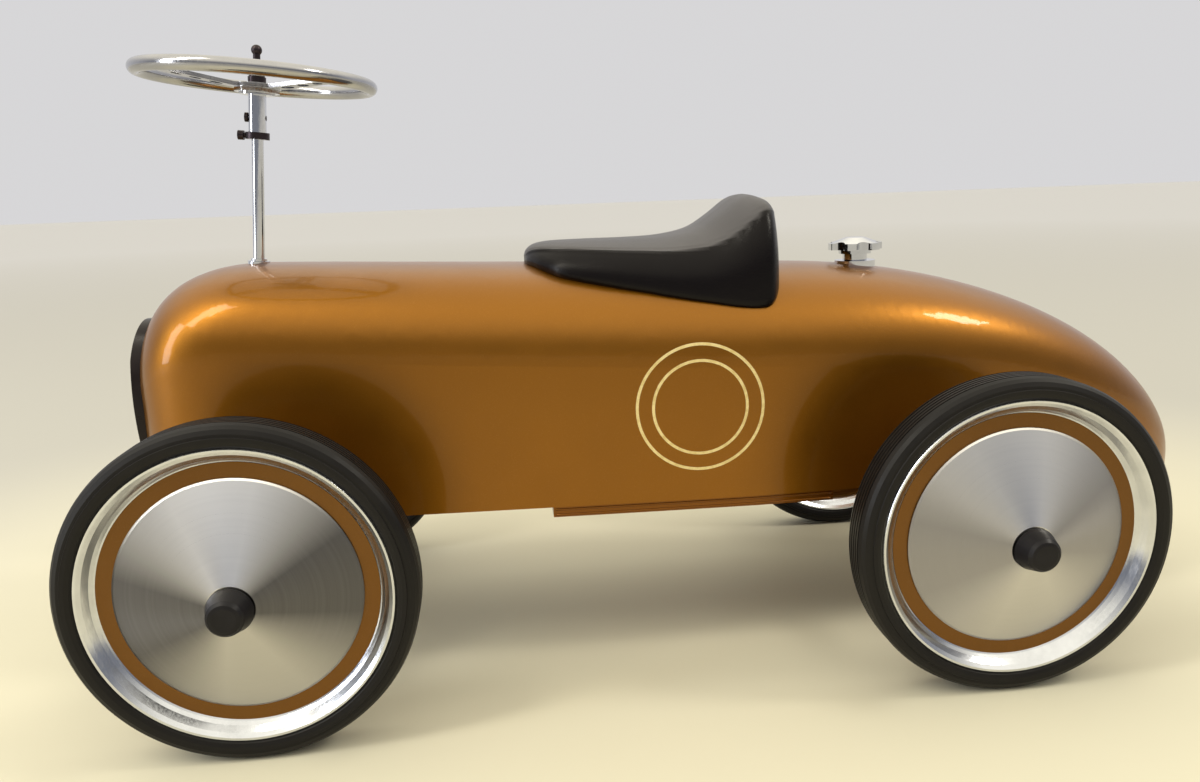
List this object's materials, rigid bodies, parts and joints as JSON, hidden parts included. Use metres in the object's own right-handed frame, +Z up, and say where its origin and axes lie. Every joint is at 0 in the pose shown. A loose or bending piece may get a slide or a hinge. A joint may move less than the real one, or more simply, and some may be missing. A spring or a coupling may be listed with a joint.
{
  "type": "ride-on racing car",
  "caption": "Toddler's foot-to-floor racing car: domed steel body, disc wheels with rubber tyres, saddle, steered front axle and a chrome steering wheel.",
  "frame": {"origin": "on the ground, in the middle of the car's length and width", "axes": "+X towards the nose, +Y to the driver's left, +Z up"},
  "size_m": [0.7977, 0.4, 0.432],
  "materials": {
    "body_paint": "gloss metallic amber gold",
    "wheel_paint": "gloss metallic amber gold",
    "frame_black": "satin black",
    "black_plastic": "satin black moulding",
    "grille_black": "matt black moulding",
    "cap_black": "satin black moulding",
    "nylon": "dark nylon",
    "zinc": "zinc plated",
    "axle_steel": "drawn bar",
    "dark_screw": "blackened steel",
    "chrome": "bright plated",
    "column_chrome": "bright plated",
    "wheel_chrome": "bright plated",
    "rim_chrome": "bright plated",
    "spun_steel": "spun and brushed",
    "tyre_rubber": "ribbed solid rubber",
    "seat_foam": "moulded foam skin",
    "seat_board": "plywood"
  },
  "bodies": {
    "chassis": {"body_shell": "body_paint", "belly_tray": "body_paint", "grille_frame": "black_plastic", "grille_bars": "grille_black", "tray_spacers": "zinc", "tray_screws": "zinc", "beam_bolts": "zinc", "bracket_bolts": "zinc", "front_beam": "frame_black", "kingpins": "zinc", "column_bracket": "frame_black", "column_bush": "nylon", "column_grommet": "chrome", "rear_axle": "axle_steel", "rear_caps": "cap_black", "rear_bracket_left": "frame_black", "rear_bracket_right": "frame_black", "rear_spacers": "nylon", "seat_base": "seat_board", "seat_pad": "seat_foam", "seat_screws": "zinc", "filler_flange": "chrome", "filler_cap": "chrome", "filler_screw": "zinc"},
    "steering": {"steering_rod": "column_chrome", "crank_lever": "frame_black", "crank_clip": "zinc", "steering_sleeve": "column_chrome", "cross_bolt": "dark_screw", "clamp_collar": "dark_screw", "collar_screw": "dark_screw", "steering_hub": "column_chrome", "steering_ring": "wheel_chrome", "steering_spokes": "wheel_chrome", "finial_nut": "dark_screw"},
    "knuckle_left": {"knuckle_left": "frame_black", "spindle_left": "axle_steel", "front_cap_left": "cap_black"},
    "knuckle_right": {"knuckle_right": "frame_black", "spindle_right": "axle_steel", "front_cap_right": "cap_black"},
    "tie_rod": {"tie_rod": "frame_black", "tie_pins": "zinc"},
    "wheel_fl": {"tyre_fl": "tyre_rubber", "rim_fl": "rim_chrome", "disc_fl": "wheel_paint", "cone_fl": "spun_steel"},
    "wheel_fr": {"tyre_fr": "tyre_rubber", "rim_fr": "rim_chrome", "disc_fr": "wheel_paint", "cone_fr": "spun_steel"},
    "wheel_rl": {"tyre_rl": "tyre_rubber", "rim_rl": "rim_chrome", "disc_rl": "wheel_paint", "cone_rl": "spun_steel"},
    "wheel_rr": {"tyre_rr": "tyre_rubber", "rim_rr": "rim_chrome", "disc_rr": "wheel_paint", "cone_rr": "spun_steel"}
  },
  "joints": [
    {"name": "steering_turn", "type": "hinge", "parent": "chassis", "child": "steering", "pos_m": [0.3054, 0, 0.285], "axis": [-0.0955, 0, 0.9954], "range_deg": [-28, 28]},
    {"name": "kingpin_left_turn", "type": "hinge", "parent": "chassis", "child": "knuckle_left", "pos_m": [0.2965, 0.114, 0.104], "axis": [0, 0, 1], "range_deg": [-28, 28]},
    {"name": "kingpin_right_turn", "type": "hinge", "parent": "chassis", "child": "knuckle_right", "pos_m": [0.2965, -0.114, 0.104], "axis": [0, 0, 1], "range_deg": [-28, 28]},
    {"name": "tie_rod_turn", "type": "hinge", "parent": "knuckle_left", "child": "tie_rod", "pos_m": [0.2605, 0.114, 0.0915], "axis": [0, 0, 1], "range_deg": [-28, 28]},
    {"name": "wheel_fl_spin", "type": "hinge", "parent": "knuckle_left", "child": "wheel_fl", "pos_m": [0.2965, 0.159, 0.104], "axis": [0, 1, 0], "continuous": true},
    {"name": "wheel_fr_spin", "type": "hinge", "parent": "knuckle_right", "child": "wheel_fr", "pos_m": [0.2965, -0.159, 0.104], "axis": [0, 1, 0], "continuous": true},
    {"name": "wheel_rl_spin", "type": "hinge", "parent": "chassis", "child": "wheel_rl", "pos_m": [-0.18, 0.159, 0.104], "axis": [0, 1, 0], "continuous": true},
    {"name": "wheel_rr_spin", "type": "hinge", "parent": "chassis", "child": "wheel_rr", "pos_m": [-0.18, -0.159, 0.104], "axis": [0, 1, 0], "continuous": true}
  ],
  "couplings": [
    {"joint": "kingpin_left_turn", "follows": "steering_turn", "ratio": 1},
    {"joint": "kingpin_right_turn", "follows": "steering_turn", "ratio": 1},
    {"joint": "tie_rod_turn", "follows": "steering_turn", "ratio": -1}
  ]
}
